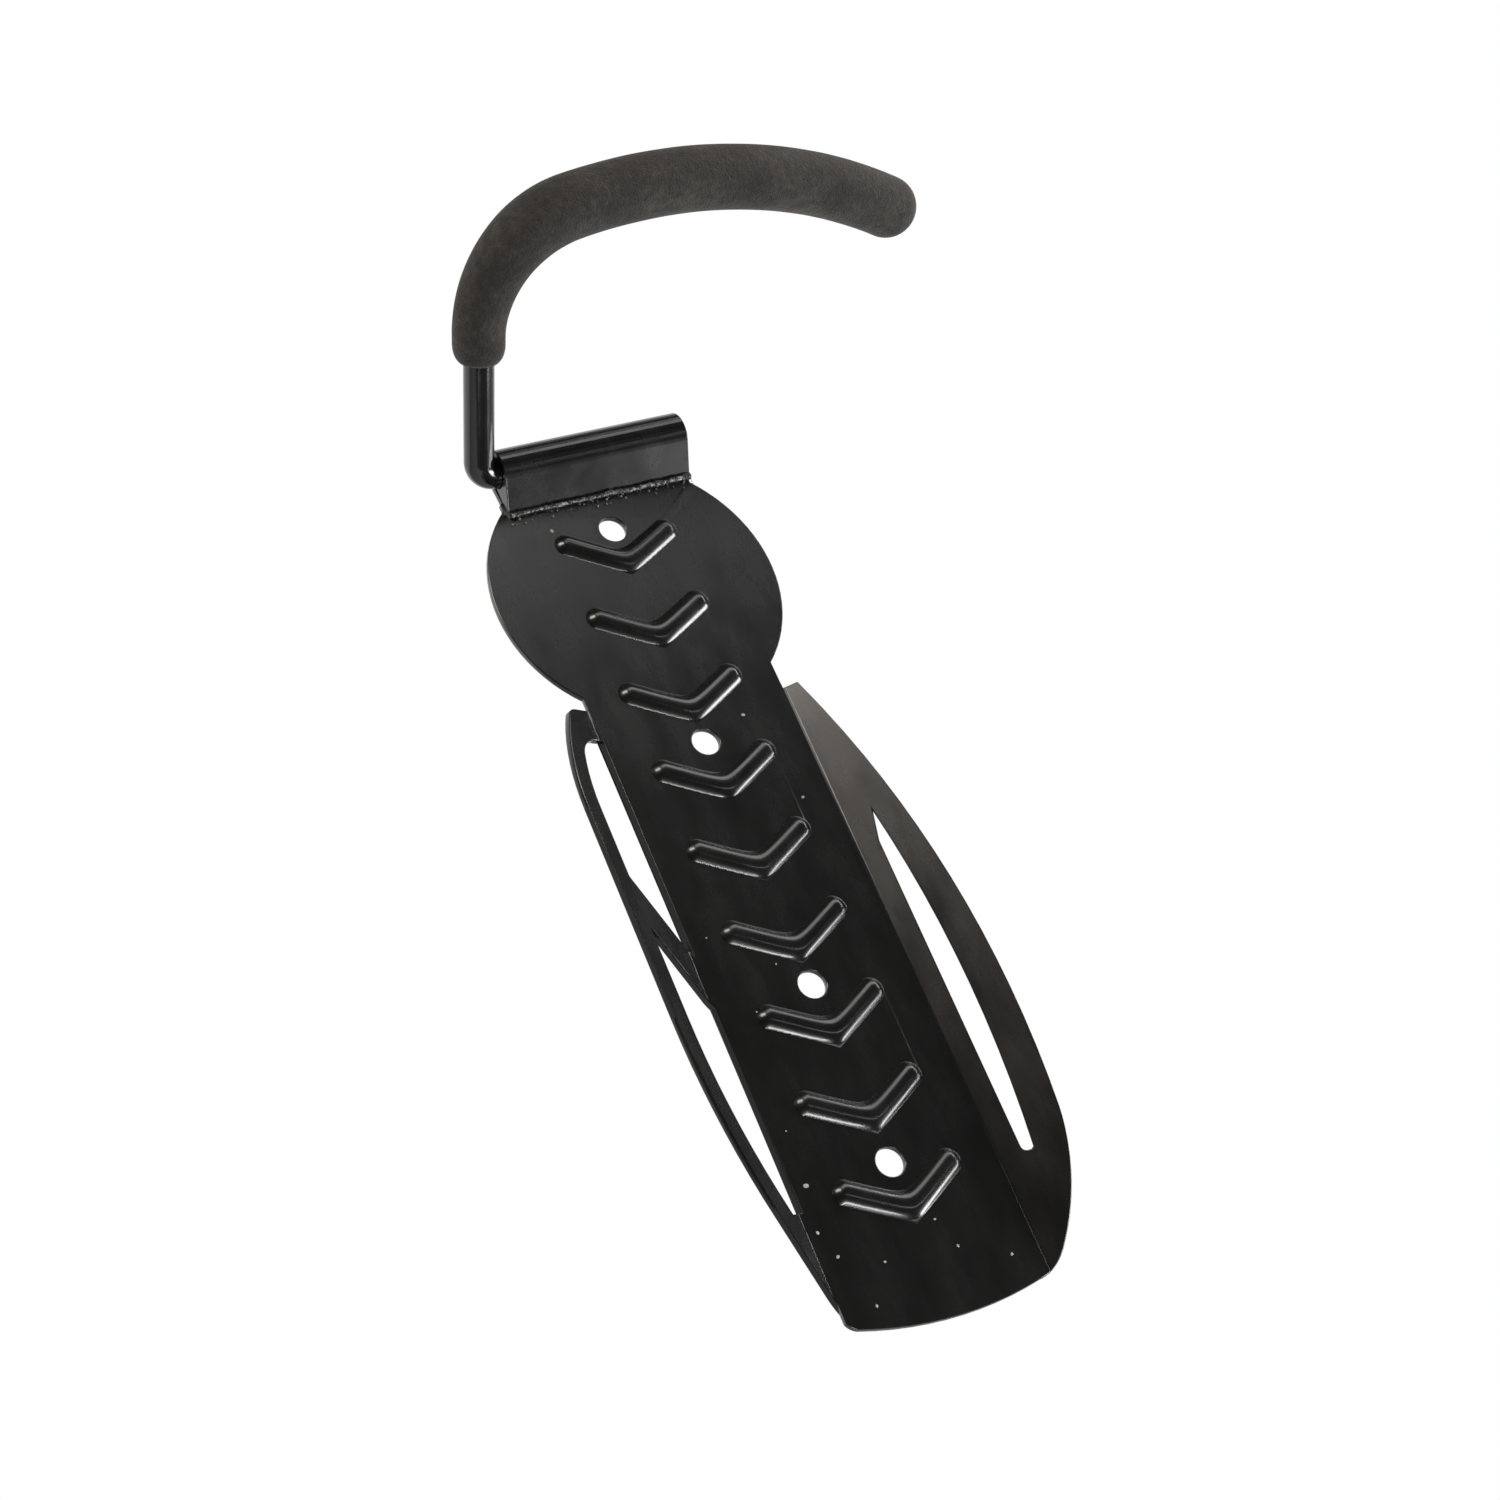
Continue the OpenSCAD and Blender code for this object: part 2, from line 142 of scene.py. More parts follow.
class Shader:
    """A material's node tree, built from the surface back to its patterns."""

    def __init__(self, name):
        self.mat = bpy.data.materials.new(name)
        self.mat.use_nodes = True
        self.nt = self.mat.node_tree
        self.nt.nodes.clear()
        self.out = self.add("ShaderNodeOutputMaterial")
        self.skin = self.add("ShaderNodeBsdfPrincipled")
        self.join(self.skin.outputs["BSDF"], self.out.inputs["Surface"])
        self.place = self.add("ShaderNodeTexCoord").outputs["Object"]

    def add(self, kind, **values):
        node = self.nt.nodes.new(kind)
        for key, value in values.items():
            setattr(node, key, value)
        return node

    def join(self, a, b):
        self.nt.links.new(a, b)

    def noise(self, scale, detail=3.0, rough=0.5, vector=None, stretch=None):
        node = self.add("ShaderNodeTexNoise")
        node.inputs["Scale"].default_value = scale
        node.inputs["Detail"].default_value = detail
        node.inputs["Roughness"].default_value = rough
        source = vector or self.place
        if stretch:
            mapping = self.add("ShaderNodeMapping")
            mapping.inputs["Scale"].default_value = stretch
            self.join(source, mapping.inputs["Vector"])
            source = mapping.outputs["Vector"]
        self.join(source, node.inputs["Vector"])
        return node.outputs["Fac"]

    def cells(self, scale, feature="F1", vector=None):
        node = self.add("ShaderNodeTexVoronoi", feature=feature)
        node.inputs["Scale"].default_value = scale
        self.join(vector or self.place, node.inputs["Vector"])
        return node.outputs["Distance"]

    def span(self, value, low, high, to_low, to_high):
        node = self.add("ShaderNodeMapRange")
        for key, v in (("From Min", low), ("From Max", high), ("To Min", to_low), ("To Max", to_high)):
            node.inputs[key].default_value = v
        self.join(value, node.inputs["Value"])
        return node.outputs["Result"]

    def tint(self, value, *stops):
        node = self.add("ShaderNodeValToRGB")
        ramp = node.color_ramp
        while len(ramp.elements) < len(stops):
            ramp.elements.new(0.5)
        for element, (at, colour) in zip(ramp.elements, stops):
            element.position = at
            element.color = (*colour, 1.0)
        self.join(value, node.inputs["Fac"])
        return node.outputs["Color"]

    def bump(self, height, strength, distance, under=None):
        node = self.add("ShaderNodeBump")
        node.inputs["Strength"].default_value = strength
        node.inputs["Distance"].default_value = distance
        self.join(height, node.inputs["Height"])
        if under:
            self.join(under, node.inputs["Normal"])
        return node.outputs["Normal"]


def powder_black(name, colour, gloss, peel):
    """Gloss black powder coat: an orange peel skin over a slightly wavy pressed sheet."""
    s = Shader(name)
    light = tuple(min(1.0, c * 1.5 + 0.001) for c in colour)
    cloud = s.noise(34.0, 4.0, 0.6)
    s.join(s.tint(cloud, (0.35, colour), (0.75, light)), s.skin.inputs["Base Color"])
    smear = s.noise(90.0, 5.0, 0.65, stretch=(1.0, 1.0, 0.35))
    s.join(s.span(smear, 0.3, 0.7, gloss - 0.05, gloss + 0.07), s.skin.inputs["Roughness"])
    s.skin.inputs["Specular IOR Level"].default_value = 0.5
    s.skin.inputs["Coat Weight"].default_value = 0.4
    s.skin.inputs["Coat Roughness"].default_value = 0.1
    wave = s.bump(s.noise(42.0, 1.0, 0.4), 0.12, 0.0006)
    grain = s.bump(s.noise(1100.0, 2.0, 0.5), peel, 0.0001, wave)
    s.join(grain, s.skin.inputs["Normal"])
    s.join(wave, s.skin.inputs["Coat Normal"])
    return s.mat


def foam_grey(name, colour, dusty):
    """Closed cell foam: a matt skin full of fine pores with painted shade in each pore, rubbed lighter here and there.
    """
    s = Shader(name)
    cloud = s.noise(55.0, 5.0, 0.62)
    pores = s.cells(1500.0)
    fine = s.noise(2600.0, 3.0, 0.7)
    dark = tuple(c * 0.55 for c in colour)
    mottle = s.noise(480.0, 4.0, 0.7)
    blend = s.add("ShaderNodeMath", operation="ADD")
    s.join(s.span(cloud, 0.0, 1.0, 0.0, 0.55), blend.inputs[0])
    s.join(s.span(mottle, 0.0, 1.0, 0.0, 0.45), blend.inputs[1])
    base = s.tint(blend.outputs[0], (0.36, dark), (0.5, colour), (0.68, dusty))
    # painted shade: the foam is coloured darker at the middle of each pore, where the bump sinks a pit
    speck = s.tint(pores, (0.02, (0.45, 0.45, 0.45)), (0.3, (1.0, 1.0, 1.0)))
    mix = s.add("ShaderNodeMix", data_type="RGBA", blend_type="MULTIPLY")
    mix.inputs["Factor"].default_value = 0.6
    s.join(base, mix.inputs[6])
    s.join(speck, mix.inputs[7])
    s.join(mix.outputs[2], s.skin.inputs["Base Color"])
    s.join(s.span(fine, 0.3, 0.7, 0.82, 0.96), s.skin.inputs["Roughness"])
    s.skin.inputs["Specular IOR Level"].default_value = 0.35
    s.skin.inputs["Sheen Weight"].default_value = 0.18
    s.skin.inputs["Sheen Roughness"].default_value = 0.45
    s.skin.inputs["Sheen Tint"].default_value = (0.75, 0.7, 0.64, 1.0)
    low = s.bump(s.noise(260.0, 3.0, 0.6), 0.35, 0.0005)
    pits = s.bump(pores, 0.55, 0.00035, low)
    s.join(s.bump(fine, 0.5, 0.0002, pits), s.skin.inputs["Normal"])
    return s.mat


def weld_skin(name, colour, glint_colour):
    """Black painted weld with a painted highlight: its crests are coloured pale to stand for the glint of the rough
    bead.
    """
    s = Shader(name)
    crest = s.noise(700.0, 4.0, 0.7)
    # painted highlight: the pale colour on the crests stands for the glint of the rough weld
    s.join(s.tint(crest, (0.5, colour), (0.66, glint_colour)), s.skin.inputs["Base Color"])
    s.join(s.span(crest, 0.4, 0.65, 0.22, 0.5), s.skin.inputs["Roughness"])
    s.skin.inputs["Coat Weight"].default_value = 0.5
    s.skin.inputs["Coat Roughness"].default_value = 0.1
    s.join(s.bump(crest, 0.9, 0.0006), s.skin.inputs["Normal"])
    return s.mat


def dust_grey(name, colour):
    """Pale lint and paint nibs caught on the sheet."""
    s = Shader(name)
    grain = s.noise(3000.0, 2.0, 0.6)
    dark = tuple(c * 0.6 for c in colour)
    s.join(s.tint(grain, (0.35, dark), (0.65, colour)), s.skin.inputs["Base Color"])
    s.skin.inputs["Roughness"].default_value = 0.6
    return s.mat


class Rule:
    """A Geometry Nodes tree that makes one piece from named inputs."""

    def __init__(self, name, inputs):
        self.tree = bpy.data.node_groups.new(name, "GeometryNodeTree")
        face = self.tree.interface
        face.new_socket("Geometry", in_out="INPUT", socket_type="NodeSocketGeometry")
        self.ids = {}
        for label, kind, value in inputs:
            socket = face.new_socket(label, in_out="INPUT", socket_type=kind)
            if value is not None:
                socket.default_value = value
            self.ids[label] = socket.identifier
        face.new_socket("Geometry", in_out="OUTPUT", socket_type="NodeSocketGeometry")
        self.start = self.tree.nodes.new("NodeGroupInput")
        self.end = self.tree.nodes.new("NodeGroupOutput")

    def add(self, kind, links=None, **values):
        node = self.tree.nodes.new(kind)
        for key, value in values.items():
            setattr(node, key, value)
        for key, value in (links or {}).items():
            if isinstance(value, bpy.types.NodeSocket):
                self.tree.links.new(value, node.inputs[key])
            else:
                node.inputs[key].default_value = value
        return node

    def math(self, operation, a, b=None):
        node = self.add("ShaderNodeMath", operation=operation)
        for i, value in enumerate((a, b)):
            if isinstance(value, bpy.types.NodeSocket):
                self.tree.links.new(value, node.inputs[i])
            elif value is not None:
                node.inputs[i].default_value = value
        return node.outputs[0]

    def vector(self, operation, a, b=None, scale=None):
        node = self.add("ShaderNodeVectorMath", operation=operation)
        for key, value in ((0, a), (1, b), ("Scale", scale)):
            if isinstance(value, bpy.types.NodeSocket):
                self.tree.links.new(value, node.inputs[key])
            elif value is not None:
                node.inputs[key].default_value = value
        return node.outputs[0]

    def finish(self, geometry, smooth=True):
        real = self.add("GeometryNodeRealizeInstances", {0: geometry}).outputs[0]
        if smooth:
            real = self.add("GeometryNodeSetShadeSmooth", {"Geometry": real, "Shade Smooth": True}).outputs[0]
        done = self.add("GeometryNodeSetMaterial", {"Geometry": real, "Material": self.start.outputs["Material"]})
        self.tree.links.new(done.outputs[0], self.end.inputs[0])


def line_object(name, points):
    """A chain of points as a mesh of edges."""
    mesh = bpy.data.meshes.new(name)
    mesh.from_pydata([tuple(p) for p in points], [(i, i + 1) for i in range(len(points) - 1)], [])
    thing = bpy.data.objects.new(name, mesh)
    bpy.context.scene.collection.objects.link(thing)
    return thing


def grow(thing, rule, values, name, material):
    """Runs a rule on an object and keeps its result as a plain mesh piece."""
    mod = thing.modifiers.new("rule", "NODES")
    mod.node_group = rule.tree
    for label, value in values.items():
        mod[rule.ids[label]] = value
    mod[rule.ids["Material"]] = material
    graph = bpy.context.evaluated_depsgraph_get()
    mesh = bpy.data.meshes.new_from_object(thing.evaluated_get(graph), depsgraph=graph)
    mesh.name = name
    piece = bpy.data.objects.new(name, mesh)
    bpy.context.scene.collection.objects.link(piece)
    bpy.data.objects.remove(thing)
    if not mesh.materials:
        mesh.materials.append(material)
    return piece


def foam_rule():
    """Lays a ring of points at each step of the sleeve's outline round the arm's centreline."""
    r = Rule(
        "Foam Sleeve On Arm",
        [
            ("Arm", "NodeSocketObject", None),
            ("Rings", "NodeSocketInt", 200),
            ("Sides", "NodeSocketInt", 96),
            ("Side Axis", "NodeSocketVector", (0.0, 0.0, 1.0)),
            ("Unevenness", "NodeSocketFloat", 0.00012),
            ("Material", "NodeSocketMaterial", None),
        ],
    )
    src = r.start.outputs
    outline = r.add("GeometryNodeMeshToCurve", {"Mesh": src["Geometry"]}).outputs[0]
    info = r.add("GeometryNodeObjectInfo", {"Object": src["Arm"]})
    arm = r.add("GeometryNodeMeshToCurve", {"Mesh": info.outputs["Geometry"]}).outputs[0]
    columns = r.math("ADD", src["Sides"], 1.0)
    grid = r.add("GeometryNodeMeshGrid", {"Vertices X": src["Rings"], "Vertices Y": columns})
    index = r.add("GeometryNodeInputIndex").outputs[0]
    ring = r.math("FLOOR", r.math("DIVIDE", r.math("ADD", index, 0.5), columns))
    step = r.math("SUBTRACT", index, r.math("MULTIPLY", ring, columns))
    along = r.math("DIVIDE", ring, r.math("SUBTRACT", src["Rings"], 1.0))
    angle = r.math("MULTIPLY", r.math("DIVIDE", step, src["Sides"]), 2 * math.pi)
    shape = r.add("GeometryNodeSampleCurve", {"Curves": outline}, mode="FACTOR")
    r.tree.links.new(along, shape.inputs["Factor"])
    spot = r.add("ShaderNodeSeparateXYZ", {0: shape.outputs["Position"]})
    radius, reach = spot.outputs[0], spot.outputs[2]
    line = r.add("GeometryNodeSampleCurve", {"Curves": arm}, mode="LENGTH")
    r.tree.links.new(reach, line.inputs["Length"])
    side = src["Side Axis"]
    over = r.vector("CROSS_PRODUCT", side, line.outputs["Tangent"])
    over = r.vector("NORMALIZE", over)
    out = r.vector(
        "ADD",
        r.vector("SCALE", over, scale=r.math("COSINE", angle)),
        r.vector("SCALE", side, scale=r.math("SINE", angle)),
    )
    place = r.vector("ADD", line.outputs["Position"], r.vector("SCALE", out, scale=radius))
    lump = r.add("ShaderNodeTexNoise", {"Vector": place, "Scale": 60.0, "Detail": 3.0})
    swell = r.math("MULTIPLY", r.math("SUBTRACT", lump.outputs[0], 0.5), src["Unevenness"])
    skin_only = r.math("GREATER_THAN", radius, 0.0062)
    swell = r.math("MULTIPLY", swell, skin_only)
    place = r.vector("ADD", place, r.vector("SCALE", out, scale=swell))
    put = r.add("GeometryNodeSetPosition", {"Geometry": grid.outputs[0], "Position": place})
    closed = r.add("GeometryNodeMergeByDistance", {"Geometry": put.outputs[0], "Distance": 0.000004})
    r.finish(closed.outputs[0])
    return r


def weld_rule():
    """Follows the flap's edge with a bead of uneven thickness, and scatters spatter beside it."""
    r = Rule(
        "Ragged Weld",
        [
            ("Bead", "NodeSocketFloat", 0.0009),
            ("Raggedness", "NodeSocketFloat", 0.0009),
            ("Spatter", "NodeSocketInt", 60),
            ("Spread", "NodeSocketFloat", 0.0016),
            ("Seed", "NodeSocketInt", 4),
            ("Material", "NodeSocketMaterial", None),
        ],
    )
    src = r.start.outputs
    path = r.add("GeometryNodeMeshToCurve", {"Mesh": src["Geometry"]}).outputs[0]
    path = r.add("GeometryNodeResampleCurve", {"Curve": path, "Count": 420}).outputs[0]
    spot = r.add("GeometryNodeInputPosition").outputs[0]
    slow = r.add("ShaderNodeTexNoise", {"Vector": spot, "Scale": 240.0, "Detail": 4.0, "Roughness": 0.7})
    fast = r.add("ShaderNodeTexNoise", {"Vector": spot, "Scale": 900.0, "Detail": 2.0})
    drift = r.vector("SUBTRACT", slow.outputs[1], (0.5, 0.5, 0.5))
    drift = r.vector("MULTIPLY", drift, (0.0, 0.5, 1.6))
    moved = r.add(
        "GeometryNodeSetPosition",
        {"Geometry": path, "Offset": r.vector("SCALE", drift, scale=src["Raggedness"])},
    ).outputs[0]
    wide = r.math("MULTIPLY", r.math("ADD", r.math("MULTIPLY", fast.outputs[0], 1.5), 0.15), src["Bead"])
    thick = r.add("GeometryNodeSetCurveRadius", {0: moved, "Radius": wide}).outputs[0]
    ring = r.add("GeometryNodeCurvePrimitiveCircle", {"Resolution": 10, "Radius": 1.0}).outputs[0]
    tube = r.add("GeometryNodeCurveToMesh", {"Curve": thick, "Profile Curve": ring, "Fill Caps": True})
    if "Scale" in tube.inputs:
        r.tree.links.new(r.add("GeometryNodeInputRadius").outputs[0], tube.inputs["Scale"])
    bits = r.add("GeometryNodeCurveToPoints", {"Curve": path, "Count": src["Spatter"]}).outputs[0]
    toss = r.add("FunctionNodeRandomValue", data_type="FLOAT_VECTOR")
    toss.inputs[0].default_value = (-1.0, 0.5, -2.2)
    toss.inputs[1].default_value = (1.0, 0.68, -0.2)
    r.tree.links.new(src["Seed"], toss.inputs["Seed"])
    bits = r.add(
        "GeometryNodeSetPosition",
        {"Geometry": bits, "Offset": r.vector("SCALE", toss.outputs[0], scale=src["Spread"])},
    ).outputs[0]
    drop = r.add("GeometryNodeMeshIcoSphere", {"Radius": 0.00045, "Subdivisions": 2}).outputs[0]
    size = r.add("FunctionNodeRandomValue", data_type="FLOAT")
    size.inputs[2].default_value = 0.15
    size.inputs[3].default_value = 1.0
    spread = r.add("GeometryNodeInstanceOnPoints", {"Points": bits, "Instance": drop, "Scale": size.outputs[1]})
    both = r.add("GeometryNodeJoinGeometry")
    r.tree.links.new(tube.outputs[0], both.inputs[0])
    r.tree.links.new(spread.outputs[0], both.inputs[0])
    r.finish(both.outputs[0])
    return r


def chevron_rule():
    """Presses one soft chevron out of a small grid, and repeats it down the sheet."""
    r = Rule(
        "Pressed Chevrons",
        [
            ("Count", "NodeSocketInt", CHEVRONS),
            ("Pitch", "NodeSocketFloat", CHEVRON_PITCH * MM),
            ("Span", "NodeSocketFloat", CHEVRON_SPAN * MM),
            ("Rise", "NodeSocketFloat", CHEVRON_RISE * MM),
            ("Half Width", "NodeSocketFloat", 0.0041),
            ("Height", "NodeSocketFloat", 0.0019),
            ("Point Round", "NodeSocketFloat", 0.0016),
            ("Material", "NodeSocketMaterial", None),
        ],
    )
    src = r.start.outputs
    grid = r.add("GeometryNodeMeshGrid", {"Size X": 0.043, "Size Y": 0.022, "Vertices X": 150, "Vertices Y": 78})
    spot = r.add("ShaderNodeSeparateXYZ", {0: r.add("GeometryNodeInputPosition").outputs[0]}).outputs
    up = r.math("ADD", spot[1], 0.0045)
    square = r.math("ADD", r.math("MULTIPLY", spot[0], spot[0]), r.math("POWER", src["Point Round"], 2.0))
    across = r.math("SQRT", square)
    span, rise = src["Span"], src["Rise"]
    length = r.math("SQRT", r.math("ADD", r.math("MULTIPLY", span, span), r.math("MULTIPLY", rise, rise)))
    ux, uz = r.math("DIVIDE", span, length), r.math("DIVIDE", rise, length)
    along = r.math("ADD", r.math("MULTIPLY", across, ux), r.math("MULTIPLY", up, uz))
    along = r.math("MINIMUM", r.math("MAXIMUM", along, 0.0), length)
    dx = r.math("SUBTRACT", across, r.math("MULTIPLY", along, ux))
    dz = r.math("SUBTRACT", up, r.math("MULTIPLY", along, uz))
    away = r.math("SQRT", r.math("ADD", r.math("MULTIPLY", dx, dx), r.math("MULTIPLY", dz, dz)))
    share = r.math("DIVIDE", away, src["Half Width"])
    dome = r.math("SUBTRACT", 1.0, r.math("POWER", share, 2.3))
    lift = r.math("SUBTRACT", r.math("MULTIPLY", dome, src["Height"]), 0.00003)
    place = r.add("ShaderNodeCombineXYZ", {0: spot[0], 1: r.math("MULTIPLY", lift, -1.0), 2: up}).outputs[0]
    outside = r.math("GREATER_THAN", share, 1.06)
    cut = r.add("GeometryNodeDeleteGeometry", {"Geometry": grid.outputs[0], "Selection": outside}, domain="POINT")
    put = r.add("GeometryNodeSetPosition", {"Geometry": cut.outputs[0], "Position": place}).outputs[0]
    inward = r.add("ShaderNodeCombineXYZ", {1: 0.0002}).outputs[0]
    back = r.add("GeometryNodeExtrudeMesh", {"Mesh": put, "Offset": inward, "Individual": False})
    behind = r.add("GeometryNodeFlipFaces", {"Mesh": back.outputs["Mesh"]})
    both = r.add("GeometryNodeJoinGeometry")
    r.tree.links.new(behind.outputs[0], both.inputs[0])
    r.tree.links.new(put, both.inputs[0])
    shell = r.add("GeometryNodeMergeByDistance", {"Geometry": both.outputs[0], "Distance": 0.000001})
    down = r.add("ShaderNodeCombineXYZ", {2: r.math("MULTIPLY", src["Pitch"], -1.0)}).outputs[0]
    first = (0.0, -SHEET_T * MM, CHEVRON_FIRST_Z * MM)
    row = r.add("GeometryNodeMeshLine", {"Count": src["Count"], "Start Location": first, "Offset": down}).outputs[0]
    r.finish(r.add("GeometryNodeInstanceOnPoints", {"Points": row, "Instance": shell.outputs[0]}).outputs[0])
    return r


def speck_rule():
    """Sets a small flat speck on each marked point of the sheet."""
    r = Rule(
        "Dust Specks",
        [("Speck", "NodeSocketFloat", 0.0006), ("Seed", "NodeSocketInt", 7), ("Material", "NodeSocketMaterial", None)],
    )
    src = r.start.outputs
    points = r.add("GeometryNodeMeshToPoints", {"Mesh": src["Geometry"]}).outputs[0]
    ball = r.add("GeometryNodeMeshIcoSphere", {"Radius": 1.0, "Subdivisions": 2}).outputs[0]
    size = r.add("GeometryNodeInputNamedAttribute", {"Name": "speck_size"}, data_type="FLOAT").outputs[0]
    size = r.math("MULTIPLY", size, src["Speck"])
    turn = r.add("FunctionNodeRandomValue", data_type="FLOAT_VECTOR")
    turn.inputs[0].default_value = (0.0, -3.0, 0.0)
    turn.inputs[1].default_value = (0.0, 3.0, 0.0)
    r.tree.links.new(src["Seed"], turn.inputs["Seed"])
    shape = r.vector("SCALE", (1.0, 0.35, 0.75), scale=size)
    put = r.add(
        "GeometryNodeInstanceOnPoints",
        {"Points": points, "Instance": ball, "Rotation": turn.outputs[0], "Scale": shape},
    )
    r.finish(put.outputs[0])
    return r


def dress_node(name, material):
    """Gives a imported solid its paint."""
    node = frame["nodes"][name]
    node.data.materials.clear()
    node.data.materials.append(material)
    return node


def near_chevron(x, z):
    """True for a point of the sheet inside one of the pressed chevrons."""
    number = min(max(round((CHEVRON_FIRST_Z + 3.0 - z) / CHEVRON_PITCH), 0), CHEVRONS - 1)
    up = z - (CHEVRON_FIRST_Z - number * CHEVRON_PITCH)
    length = math.hypot(CHEVRON_SPAN, CHEVRON_RISE)
    ux, uz = CHEVRON_SPAN / length, CHEVRON_RISE / length
    along = min(max(abs(x) * ux + up * uz, 0.0), length)
    return math.hypot(abs(x) - along * ux, up - along * uz) < 4.4


def tray_copy(material, edge_round):
    """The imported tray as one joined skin, with its chevrons pressed low so that softer ones can cover them."""
    source = frame["nodes"]["tyre_tray"].data
    mesh = bpy.data.meshes.new("tray_skin")
    shape = bmesh.new()
    shape.from_mesh(source)
    bmesh.ops.remove_doubles(shape, verts=shape.verts, dist=0.000002)
    for v in shape.verts:
        x, y, z = (c / MM for c in v.co)
        if y < -SHEET_T - 0.01 and near_chevron(x, z):
            v.co.y = (-SHEET_T + (y + SHEET_T) * 0.25) * MM
    bmesh.ops.dissolve_limit(shape, angle_limit=math.radians(0.4), verts=shape.verts, edges=shape.edges)
    bmesh.ops.dissolve_degenerate(shape, dist=0.00006, edges=shape.edges)
    for face in shape.faces:
        face.smooth = len(face.verts) < 7 and face.calc_area() < 0.00003
    cut = [e for e in shape.edges if len(e.link_faces) == 2 and e.calc_face_angle_signed(0.0) > math.radians(40)]
    made = bmesh.ops.bevel(
        shape, geom=cut, offset=edge_round, segments=3, profile=0.5, affect="EDGES", clamp_overlap=False, harden_normals=False
    )
    for face in made["faces"]:
        face.smooth = True
    bmesh.ops.triangulate(shape, faces=[f for f in shape.faces if len(f.verts) > 4])
    for edge in shape.edges:
        edge.smooth = len(edge.link_faces) == 2 and edge.calc_face_angle(0.0) < math.radians(38)
    shape.to_mesh(mesh)
    shape.free()
    mesh.materials.append(material)
    piece = bpy.data.objects.new("tray_skin", mesh)
    bpy.context.scene.collection.objects.link(piece)
    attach(piece, "root")
    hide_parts("tyre_tray")
    return piece


class WheelHookPaint(bpy.types.PropertyGroup):
    """Colours and rounds of the painted steel."""

    tray_colour: FloatVectorProperty(
        name="Tray Colour", description="Paint on the folded tray", subtype="COLOR", size=3, default=(0.004, 0.004, 0.0039)
    )
    rod_colour: FloatVectorProperty(
        name="Rod Colour", description="Paint on the bent rod", subtype="COLOR", size=3, default=(0.0045, 0.0045, 0.0045)
    )
    gloss: FloatProperty(name="Roughness", description="Roughness of the paint", default=0.25, min=0.15, max=0.6)
    edge: FloatProperty(
        name="Edge Round", description="Radius of the paint on cut edges", default=0.0003, min=0.0001, max=0.0008, unit="LENGTH"
    )
    bead_half_width: FloatProperty(
        name="Chevron Half Width", description="Half the width of a pressed chevron's arm", default=0.0038, unit="LENGTH"
    )
    bead_height: FloatProperty(
        name="Chevron Height", description="Height of a pressed chevron", default=0.0019, unit="LENGTH"
    )
    bead_round: FloatProperty(
        name="Chevron Point Round", description="Rounding of a chevron's point", default=0.0024, unit="LENGTH"
    )


class WheelHookFoam(bpy.types.PropertyGroup):
    """Shape and colour of the foam sleeve."""

    colour: FloatVectorProperty(
        name="Foam Colour", description="Skin of the foam", subtype="COLOR", size=3, default=(0.034, 0.031, 0.0285)
    )
    dusty: FloatVectorProperty(
        name="Rubbed Colour", description="Foam where it is rubbed", subtype="COLOR", size=3, default=(0.072, 0.065, 0.058)
    )
    end_radius: FloatProperty(name="End Radius", description="Radius at the lower end", default=0.0076, unit="LENGTH")
    full_radius: FloatProperty(name="Full Radius", description="Radius along the arm", default=0.0094, unit="LENGTH")
    unevenness: FloatProperty(name="Unevenness", description="Swell of the skin", default=0.00022, unit="LENGTH")
    sides: IntProperty(name="Sides", description="Points round the sleeve", default=96, min=24, max=160)


class WheelHookMarks(bpy.types.PropertyGroup):
    """The weld on the rolled sleeve and the dust on the sheet."""

    bead: FloatProperty(name="Weld Bead", description="Radius of the weld", default=0.0007, unit="LENGTH")
    ragged: FloatProperty(name="Raggedness", description="Wander of the weld", default=0.0012, unit="LENGTH")
    spatter: IntProperty(name="Spatter", description="Drops beside the weld", default=70, min=0, max=200)
    speck: FloatProperty(name="Speck", description="Radius of a full size speck", default=0.0007, unit="LENGTH")


class WheelHookStudio(bpy.types.PropertyGroup):
    """Backdrop and lamps."""

    floor_drop: FloatProperty(name="Floor Drop", description="Floor below the tray", default=0.75, unit="LENGTH")
    backdrop: FloatVectorProperty(
        name="Backdrop", description="Colour behind the hook", subtype="COLOR", size=3, default=(1.0, 1.0, 1.0)
    )
    fill: FloatProperty(name="Fill", description="Strength of the soft light all round", default=0.06, min=0.0, max=1.0)


class WHEELHOOK_OT_tray(bpy.types.Operator):
    """Paint the folded tray"""

    bl_idname = "wheel_hook.tray"
    bl_label = "Painted Tray"

    def execute(self, context):
        s = context.scene.wheel_hook_paint
        paint = powder_black("Gloss Black Tray Paint", tuple(s.tray_colour), s.gloss, 0.07)
        tray_copy(paint, s.edge)
        seed = line_object("chevron_seed", [(0.0, 0.0, 0.0), (0.001, 0.0, 0.0)])
        values = {"Half Width": s.bead_half_width, "Height": s.bead_height, "Point Round": s.bead_round}
        beads = grow(seed, chevron_rule(), values, "pressed_chevrons", paint)
        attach(beads, "root")
        return {"FINISHED"}


class WHEELHOOK_OT_rod(bpy.types.Operator):
    """Paint the bent rod"""

    bl_idname = "wheel_hook.rod"
    bl_label = "Painted Rod"

    def execute(self, context):
        s = context.scene.wheel_hook_paint
        paint = powder_black("Gloss Black Rod Paint", tuple(s.rod_colour), s.gloss - 0.12, 0.06)
        dress_node("hook_rod", paint)
        return {"FINISHED"}


